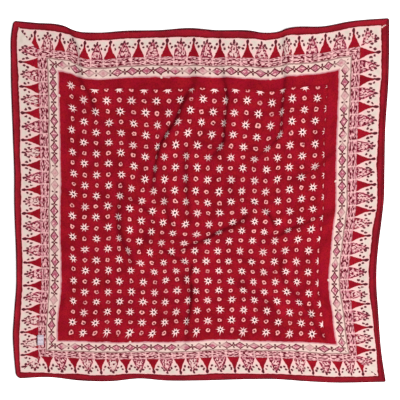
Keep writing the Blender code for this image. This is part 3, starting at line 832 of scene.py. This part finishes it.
# Vine band: two rows of short dark strokes on blots of rose and cream, with a pale gap at each
# half step, between a rose line under the figures and a grey-brown line
HALF_STEP = FIGURE_STEP / 2
ROSE_LINE, FIRST_VINE_ROW, SECOND_VINE_ROW = 41.1, 43.9, 49.0
VINE_STROKE_SIZE, VINE_STROKE_DRAWN_OUT = 1.5, (0.3, 1.0, 0.0)
half_repeat = add("Math", TIMES_PLUS, (repeat, 2.0, 0.5))
vine_along = add("Math", {"operation": "FRACT"}, (half_repeat,))
vine_along = add("Math", TIMES_PLUS, (vine_along, HALF_STEP, -HALF_STEP / 2))
vine_reach = add("Math", UNSIGNED, (vine_along,))
vine_ground = add("MapRange", SOFT, (lift_off, 0.42, 0.64, 0.0, 0.55))
vine_ground = add("Math", TIMES_PLUS, (upright, 0.18, vine_ground))
row_gap = add("Math", LEAST, (off_line(deep, FIRST_VINE_ROW), off_line(deep, SECOND_VINE_ROW)))
near_row = add("MapRange", SOFT, (row_gap, 0.4, 2.2, 0.09, -0.03))
stroke_place = add("VectorMath", TIMES, (brush_place, VINE_STROKE_DRAWN_OUT))
stroke = add("TexNoise", {}, {"Vector": stroke_place, "Scale": 1 / VINE_STROKE_SIZE, "Detail": 0.0})
stroke = add("Math", PLUS, (stroke, near_row))
rose_stroke = add("MapRange", SOFT, (stroke, 0.48, 0.55, 0.0, 0.75))
dark_stroke = add("MapRange", SOFT, (stroke, 0.545, 0.6, 0.0, 1.0))
gap = add("MapRange", SOFT, (vine_reach, 8.0, 9.0, 0.0, 0.65))
rose_line = add("Math", WITHIN, (deep, ROSE_LINE, 0.5))
rose_line = add("Math", TIMES, (rose_line, 0.45))
vine_colour = FRINGE_PINK
for mask, colour in ((vine_ground, MAUVE_PINK), (rose_stroke, WINE), (dark_stroke, STROKE_RED),
                     (gap, FRINGE_PINK), (rose_line, MAUVE_PINK)):
    vine_colour = add("Mix", COLOUR, {0: mask, 6: vine_colour, 7: colour}, 2)
in_vine = add("Math", ABOVE, (deep, FIGURE_BAND))

# Lozenge band: a crossed zigzag makes filled lozenges, with two dots at each crossing. Where the
# stamp ran dry they are faint.
LOZENGE_STEP, LOZENGE_HALF, LOZENGE_RISE, LINE_WIDTH = 20.0, 7.6, 5.7, 1.6
LOZENGE_MIDDLE, CROSSING_DOT_UP, DRY_PATCH_SIZE = 60.0, 3.5, 24
# Where one lozenge's middle stands on the level and the upright edges, and their steps there
LEVEL_LOZENGE, LEVEL_STRETCH = 137.5, LOZENGE_STEP / 20.6
UPRIGHT_LOZENGE, UPRIGHT_STRETCH = 108.5, LOZENGE_STEP / 18.8
level_side = add("Math", TIMES_PLUS, (across, LEVEL_STRETCH, -LEVEL_LOZENGE * LEVEL_STRETCH))
upright_side = add("Math", TIMES_PLUS, (down, UPRIGHT_STRETCH, -UPRIGHT_LOZENGE * UPRIGHT_STRETCH))
lozenge_side = add("Mix", AMOUNT, {0: upright, 2: level_side, 3: upright_side})
lozenge_side = add("Math", {"operation": "PINGPONG"}, (lozenge_side, LOZENGE_STEP / 2))
lozenge_up = off_line(deep, LOZENGE_MIDDLE)
zigzag = add("Math", TIMES_PLUS, (lozenge_side, -LOZENGE_RISE / LOZENGE_HALF, LOZENGE_RISE))
lozenge_fill = add("Math", MINUS, (zigzag, lozenge_up))
zigzag = add("Math", UNSIGNED, (zigzag,))
zigzag = off_line(lozenge_up, zigzag)
zigzag = add("MapRange", SOFT, (zigzag, LINE_WIDTH / 2 - 0.2, LINE_WIDTH / 2 + 0.6, 1.0, 0.0))
lozenge_fill = add("MapRange", SOFT, (lozenge_fill, 0.2, 1.0, 0.0, 1.0))
inked = add("TexNoise", {}, {"Vector": stamped, "Scale": 1 / DRY_PATCH_SIZE, "Detail": 0.0})
inked = add("MapRange", SOFT, (inked, 0.54, 0.7, 1.0, 0.45))
lozenge_fill = add("Math", TIMES, (lozenge_fill, inked))
zigzag = add("Math", TIMES, (zigzag, inked))
lozenge_spot = add("CombineXYZ", {}, (lozenge_side, lozenge_up))
lozenge_core = add("VectorMath", {"operation": "LENGTH"}, (lozenge_spot,), 1)
lozenge_core = add("MapRange", SOFT, (lozenge_core, 0.8, 3.4, 0.8, 0.0))
lozenge_core = add("Math", TIMES, (lozenge_core, inked))
crossing_dot = add("VectorMath", DISTANCE, (lozenge_spot, (LOZENGE_STEP / 2, CROSSING_DOT_UP, 0.0)), 1)
crossing_dot = add("MapRange", SOFT, (crossing_dot, 1.0, 1.9, 0.97, 0.0))
light_spot = add("MapRange", SOFT, (lift_off, 0.44, 0.34, 0.0, 0.8))
light_spot = add("Math", TIMES, (light_spot, lozenge_fill))
lozenge_colour = WARM_CREAM
for mask, colour in ((lozenge_fill, LOZENGE_PINK), (lozenge_core, ROSE), (light_spot, FRINGE_PINK),
                     (zigzag, STROKE_RED), (crossing_dot, DOT_BROWN)):
    lozenge_colour = add("Mix", COLOUR, {0: mask, 6: lozenge_colour, 7: colour}, 2)
in_lozenge = add("Math", ABOVE, (deep, VINE_BAND))
band_line = add("MapRange", SOFT, (off_line(deep, VINE_BAND), 0.6, 1.3, 0.95, 0.0))

# The field's pale edge and the red outer band close the border on both sides. The outer band is
# darker beside the print, and its outer 3 mm, on the turn of the hem, is painted with shade in a dark
# maroon.
pale_edge = add("MapRange", SOFT, (deep, LOZENGE_BAND - 2.8, LOZENGE_BAND - 1.2, 0.0, 0.75))
in_middle = add("MapRange", SOFT, (deep, LOZENGE_BAND - 0.7, LOZENGE_BAND + 0.5, 0.0, 1.0))
BAND_PALER = 0.03
# Painted shade: the hem's rounded turn is darkened, fully within 0.9 mm of the edge and fading out by
# 2.8 mm
painted_hem_shade = add("MapRange", SOFT, (deep, 0.9, 2.8, 0.9, 0.06))
inner_dark = add("MapRange", SOFT, (deep, RED_BAND - 3.0, RED_BAND - 0.9, 0.0, 0.95))
band_red = red_dye
for mask, colour in ((BAND_PALER, MAUVE_PINK), (painted_hem_shade, HEM_SHADE_MAROON), (inner_dark, DEEP_RED)):
    band_red = add("Mix", COLOUR, {0: mask, 6: band_red, 7: colour}, 2)
in_red_band = add("MapRange", SOFT, (deep, RED_BAND - 0.5, RED_BAND + 0.5, 1.0, 0.0))

# Small cream nubs where the stamp's lines ran past the print's edges, and a thin streak of them
# at the two upper corners: rows of (across, down, radius) in mm
NUBS = ((220, 69.5, 1.8), (378, 69, 1.8), (179, 468.1, 1.8), (342, 468.1, 1.8), (69.9, 107, 1.8),
        (484.1, 232, 1.8), (484.1, 375, 1.8), (545.6, 12.3, 1.3), (547.6, 11.0, 1.1),
        (549.4, 9.9, 0.9), (13.0, 12.6, 1.3), (11.4, 11.0, 1.0), (10.0, 9.6, 0.8))
print_place = add("CombineXYZ", {}, (across, down))
nub = None
for *nub_place, radius in NUBS:
    from_nub = add("VectorMath", DISTANCE, (print_place, (*nub_place, 0.0)), 1)
    from_nub = add("Math", MINUS, (from_nub, radius))
    if nub is not None:
        from_nub = add("Math", LEAST, (from_nub, nub))
    nub = from_nub
nub = add("MapRange", SOFT, (nub, -0.5, 0.4, 1.0, 0.0))

# The whole print, from the figures inward and then the outer band
cloth_colour = border_colour
for mask, colour in ((in_vine, vine_colour), (in_lozenge, lozenge_colour), (band_line, GREY_BROWN),
                     (pale_edge, MAUVE_PINK), (in_middle, field_colour), (in_red_band, band_red),
                     (nub, WARM_CREAM)):
    cloth_colour = add("Mix", COLOUR, {0: mask, 6: cloth_colour, 7: colour}, 2)

# Plain weave: the threads are 0.4 mm apart, too fine to show, so they are drawn 1.2 mm apart
THREAD_STEP = 1.2
weave_place = add("VectorMath", {"operation": "SCALE"}, {0: stamped, "Scale": 1 / THREAD_STEP})
weave = add("TexNoise", {}, {"Vector": weave_place, "Scale": 1.0, "Detail": 2.0})
surface(cloth_colour, weave, strength=0.25, depth=0.0002, roughness=0.9)
shader.inputs["Specular IOR Level"].default_value = 0.04
cloth_mesh.materials.append(cotton)

# Label
# A small blank tab of woven polyester tape on the border, near the lower left corner. It lies flat
# and is sewn down by its two short ends.
LABEL_WIDTH, LABEL_LENGTH, LABEL_THICKNESS, LABEL_CROWN = 0.009, 0.015, 0.0004, 0.00035
LABEL_ROWS, LABEL_COLUMNS = 24, 16
label_low, label_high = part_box("blank_label")
label_middle = (label_low + label_high) / 2
label_mesh = bpy.data.meshes.new("woven_label")
label_points = []
for top in (1, 0):
    for row in range(LABEL_ROWS + 1):
        for column in range(LABEL_COLUMNS + 1):
            side = column / LABEL_COLUMNS - 0.5
            end = row / LABEL_ROWS - 0.5
            crown = LABEL_CROWN * (1 - (2 * end) ** 4)
            label_points.append((label_middle.x + side * LABEL_WIDTH,
                                 label_middle.y + end * LABEL_LENGTH,
                                 label_low.z + crown + top * LABEL_THICKNESS))
label_index = np.arange(len(label_points)).reshape(2, LABEL_ROWS + 1, LABEL_COLUMNS + 1)
label_faces = grid_faces(label_index[0])[:, ::-1].tolist() + grid_faces(label_index[1]).tolist()
for top, low in ((label_index[0, 0, :], label_index[1, 0, :]),
                 (label_index[0, ::-1, 0], label_index[1, ::-1, 0]),
                 (label_index[0, -1, ::-1], label_index[1, -1, ::-1]),
                 (label_index[0, :, -1], label_index[1, :, -1])):
    for i in range(len(top) - 1):
        label_faces.append([int(low[i]), int(low[i + 1]), int(top[i + 1]), int(top[i])])
label_mesh.from_pydata(label_points, [], label_faces)
label = put_in_scene("woven_label", label_mesh)

# Woven polyester tape: smooth, in a cool white that stands out from the dyed cotton. Its ribs are
# too fine to show, so they are drawn 5.65 mm apart. A wave texture of scale 1 turns 20 radians a
# metre.
RIB_STEP, WAVE_PACE = 0.0056549, 20
tape, tree, shader = new_finish("woven polyester tape")
tape_place = add("TexCoord", {}, {}, 3)
ribs = add("TexWave", {"bands_direction": "Y"},
           {"Vector": tape_place, "Scale": 2 * math.pi / WAVE_PACE / RIB_STEP, "Distortion": 0.4})
tape_colour = add("Mix", COLOUR, {0: ribs, 6: hex_colour("#B5A6B2"), 7: hex_colour("#CDBDC8")}, 2)
surface(tape_colour, ribs, strength=0.4, depth=0.0001, roughness=0.55)
label_mesh.materials.append(tape)
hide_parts("blank_label")
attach(label, "root")


# Stitches
# Fine cotton thread: a machine row of dark red stitches holds the hem down along its inner line,
# on both faces, and short cream rows hold the two ends of the label.
THREAD_RADIUS, THREAD_SIDES = 0.00022, 6
# Along one stitch: (share of its length from its middle, lift)
THREAD_SHAPE = ((-0.5, -0.0003), (-0.42, 0.00004), (-0.2, 0.0001), (0.2, 0.0001), (0.42, 0.00004),
                (0.5, -0.0003))


def sewn_row(path, up, stitch, space):
    """Verts and faces of a row of stitches along a path of points, each bent into the cloth."""
    steps = np.linalg.norm(np.diff(path, axis=0), axis=1)
    reach = np.concatenate([[0.0], np.cumsum(steps)])
    amount = int((reach[-1] - space) / (stitch + space))
    verts, faces = [], []
    for number in range(amount):
        centre_at = space + stitch / 2 + number * (stitch + space)
        ends = [np.array([np.interp(centre_at + side * stitch / 2, reach, path[:, axis])
                          for axis in range(3)]) for side in (-1, 1)]
        rise = np.array([np.interp(centre_at, reach, up[:, axis]) for axis in range(3)])
        centre, ahead = (ends[0] + ends[1]) / 2, ends[1] - ends[0]
        across_thread = np.cross(rise, ahead / np.linalg.norm(ahead))
        first = len(verts)
        for part, lift in THREAD_SHAPE:
            for side in range(THREAD_SIDES):
                angle = 2 * math.pi * side / THREAD_SIDES
                verts.append(centre + part * ahead + rise * (lift + math.sin(angle) * THREAD_RADIUS)
                             + across_thread * math.cos(angle) * THREAD_RADIUS)
        for ring in range(len(THREAD_SHAPE) - 1):
            for side in range(THREAD_SIDES):
                a = first + ring * THREAD_SIDES + side
                b = first + ring * THREAD_SIDES + (side + 1) % THREAD_SIDES
                faces.append((a, b, b + THREAD_SIDES, a + THREAD_SIDES))
        last = first + (len(THREAD_SHAPE) - 1) * THREAD_SIDES
        faces.append(tuple(range(first + THREAD_SIDES - 1, first - 1, -1)))
        faces.append(tuple(range(last, last + THREAD_SIDES)))
    return verts, faces


def sewn_piece(name, rows, stitch, space):
    """One piece made of all its rows of stitches."""
    verts, faces = [], []
    for row_path, row_up in rows:
        row_verts, row_faces = sewn_row(row_path, row_up, stitch, space)
        faces += [tuple(corner + len(verts) for corner in face) for face in row_faces]
        verts += row_verts
    mesh = bpy.data.meshes.new(name)
    mesh.from_pydata([tuple(vert) for vert in verts], [], faces)
    mesh.shade_smooth()
    return put_in_scene(name, mesh)


# The hem's row runs along the fourth step of its roll, 2.8 mm in from the cloth's edge
HEM_STITCH, HEM_SPACE, HEM_STEP = 0.0022, 0.0008, 4
hem_rows = []
for face, half_thick in ((1, upper), (-1, under)):
    sewn_face = lying + normals * half_thick[..., None]
    for side in (np.s_[HEM_STEP, HEM_STEP:-HEM_STEP], np.s_[-1 - HEM_STEP, HEM_STEP:-HEM_STEP],
                 np.s_[HEM_STEP:-HEM_STEP, HEM_STEP], np.s_[HEM_STEP:-HEM_STEP, -1 - HEM_STEP]):
        hem_rows.append((sewn_face[side], normals[side] * face))
hem_stitches = sewn_piece("hem_stitches", hem_rows, HEM_STITCH, HEM_SPACE)

# The label's two rows run just inside its short ends and stop short of its long sides
LABEL_STITCH, LABEL_SPACE, LABEL_ROW_IN = 0.0013, 0.0005, 0.0011
LABEL_ROW_LIFT, LABEL_ROW_SHORT = 0.0001, 0.0004
label_top = label_low.z + LABEL_THICKNESS + LABEL_ROW_LIFT
label_rows_sewn = []
for end in (-1, 1):
    row_y = label_middle.y + end * (LABEL_LENGTH / 2 - LABEL_ROW_IN)
    row_half = LABEL_WIDTH / 2 - LABEL_ROW_SHORT
    row_path = np.array([(label_middle.x + share * row_half, row_y, label_top)
                         for share in (-1, 0, 1)])
    label_rows_sewn.append((row_path, np.array([(0.0, 0.0, 1.0)] * 3)))
label_stitches = sewn_piece("label_stitches", label_rows_sewn, LABEL_STITCH, LABEL_SPACE)

# Twisted cotton thread: two plies catch the light in turn. They are too fine to show, so they are
# drawn 7.5 mm apart, so the stitches turn dark and light. A slanting wave turns at half the pace.
PLY_STEP = 0.0075398
for piece, slot, dark, light in ((hem_stitches, "printed_cotton", "#5A0710", "#8E1520"),
                                 (label_stitches, "label_tape", "#BDB0B4", "#DACDD0")):
    thread, tree, shader = new_finish("twisted cotton thread for " + piece.name)
    ply_place = add("TexCoord", {}, {}, 3)
    plies = add("TexWave", {"bands_direction": "DIAGONAL"},
                {"Vector": ply_place, "Scale": 4 * math.pi / WAVE_PACE / PLY_STEP, "Distortion": 0.6})
    thread_colour = add("Mix", COLOUR, {0: plies, 6: hex_colour(dark), 7: hex_colour(light)}, 2)
    surface(thread_colour, plies, strength=0.3, depth=0.00005, roughness=0.7)
    piece.data.materials.append(thread)
    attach(piece, "root")

# Setting
# A plain white table of glass lit from below, one soft lamp to the right and in front, and a camera
# straight above. The table's top is drawn just clear of the cloth's under side.
TABLE_REACH, TABLE_DROP = 3, 0.0006
floor_mesh = bpy.data.meshes.new("table_top")
floor_mesh.from_pydata([(x * TABLE_REACH, y * TABLE_REACH, -TABLE_DROP)
                        for x, y in ((-1, -1), (1, -1), (1, 1), (-1, 1))], [], [(0, 1, 2, 3)])
floor = put_in_scene("table_top", floor_mesh)
# White glass: an even glow from below, so the cloth's shadow on it is faint
table, tree, shader = new_finish("white glass light table")
shader.inputs["Base Color"].default_value = (0.9, 0.9, 0.9, 1)
shader.inputs["Roughness"].default_value = 0.6
shader.inputs["Emission Color"].default_value = (1, 1, 1, 1)
shader.inputs["Emission Strength"].default_value = 0.7
floor_mesh.materials.append(table)

key = bpy.data.lights.new("key", "AREA")
key.energy = 520
key.size = 1.6
key_lamp = put_in_scene("key", key)
key_lamp.location = (4.2, -1.5, 3.3)
key_lamp.rotation_euler = (-key_lamp.location).to_track_quat("-Z", "Y").to_euler()

world = bpy.data.worlds.new("studio")
bpy.context.scene.world = world
world.use_nodes = True
sky = world.node_tree.nodes["Background"]
sky.inputs["Color"].default_value = (1, 1, 1, 1)
sky.inputs["Strength"].default_value = 0.28
bpy.context.scene.view_settings.view_transform = "Standard"

# The photo is 600 mm wide at the cloth. The camera stands high, so it sees the cloth almost flat on.
PHOTO_WIDTH, CAMERA_HEIGHT, SENSOR = 0.600, 6.0, 36.0
camera = put_in_scene("camera", bpy.data.cameras.new("camera"))
camera.data.sensor_width = SENSOR
camera.data.lens = SENSOR * CAMERA_HEIGHT / PHOTO_WIDTH
camera.data.clip_end = 50
camera.location = (-middle[0], -middle[1], CAMERA_HEIGHT)
bpy.context.scene.camera = camera
